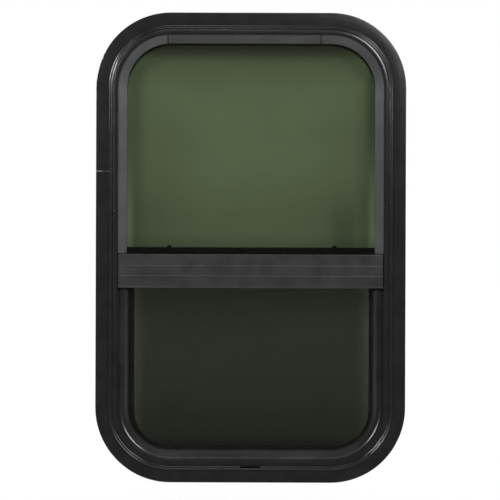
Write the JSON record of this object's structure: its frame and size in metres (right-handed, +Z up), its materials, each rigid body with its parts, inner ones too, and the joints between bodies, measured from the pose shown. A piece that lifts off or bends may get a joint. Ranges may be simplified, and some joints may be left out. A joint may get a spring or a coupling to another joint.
{
  "type": "caravan window",
  "caption": "Radius-corner caravan window with a fixed upper pane, grey crossbar, lower sliding sash in a bulb seal, insect screen and inner trim ring.",
  "frame": {"origin": "middle of the cut-out's bottom edge, on the back of the outer flange where it seats on the wall", "axes": "+Z up, -Y out of the wall, +X to the right as seen from outside"},
  "size_m": [0.3936, 0.0437, 0.5968],
  "materials": {
    "black_frame": "black powder coat, fine texture, satin",
    "plain_aluminium": "mill finish",
    "green_glass": "green tinted tempered glass, polished",
    "grey_bead": "grey vinyl, smooth and dull",
    "grey_bar": "dark grey powder coat, satin",
    "black_rubber": "dull black rubber",
    "bulb_rubber": "smooth black rubber with a soft shine",
    "brush_pile": "woven pile",
    "black_plastic": "fine grained moulding",
    "flocked_channel": "grey flock over rubber",
    "screen_metal": "roll-formed aluminium, black paint",
    "screen_wire": "woven aluminium insect mesh, charcoal paint",
    "trim_paint": "off-white paint, satin"
  },
  "bodies": {
    "root": {"main_frame": "black_frame", "frame_splice": "plain_aluminium", "upper_glass": "green_glass", "upper_glass_tape": "black_rubber", "bead_left": "grey_bead", "bead_top": "grey_bead", "bead_right": "grey_bead", "crossbar": "grey_bar", "crossbar_key_left": "black_plastic", "crossbar_key_right": "black_plastic", "crossbar_gasket": "black_rubber", "meeting_seal": "brush_pile", "bulb_seal": "bulb_rubber", "sash_frame": "black_frame", "sash_top_rail": "black_frame", "sash_glass": "green_glass", "sash_latch_left": "black_plastic", "sash_latch_right": "black_plastic", "run_channel_left": "flocked_channel", "run_channel_right": "flocked_channel", "run_channel_top": "flocked_channel", "run_channel_bottom": "flocked_channel", "screen_frame": "screen_metal", "screen_mesh": "screen_wire", "screen_spline": "black_rubber", "screen_tab_left": "black_plastic", "screen_tab_right": "black_plastic", "trim_ring": "trim_paint"}
  },
  "joints": []
}
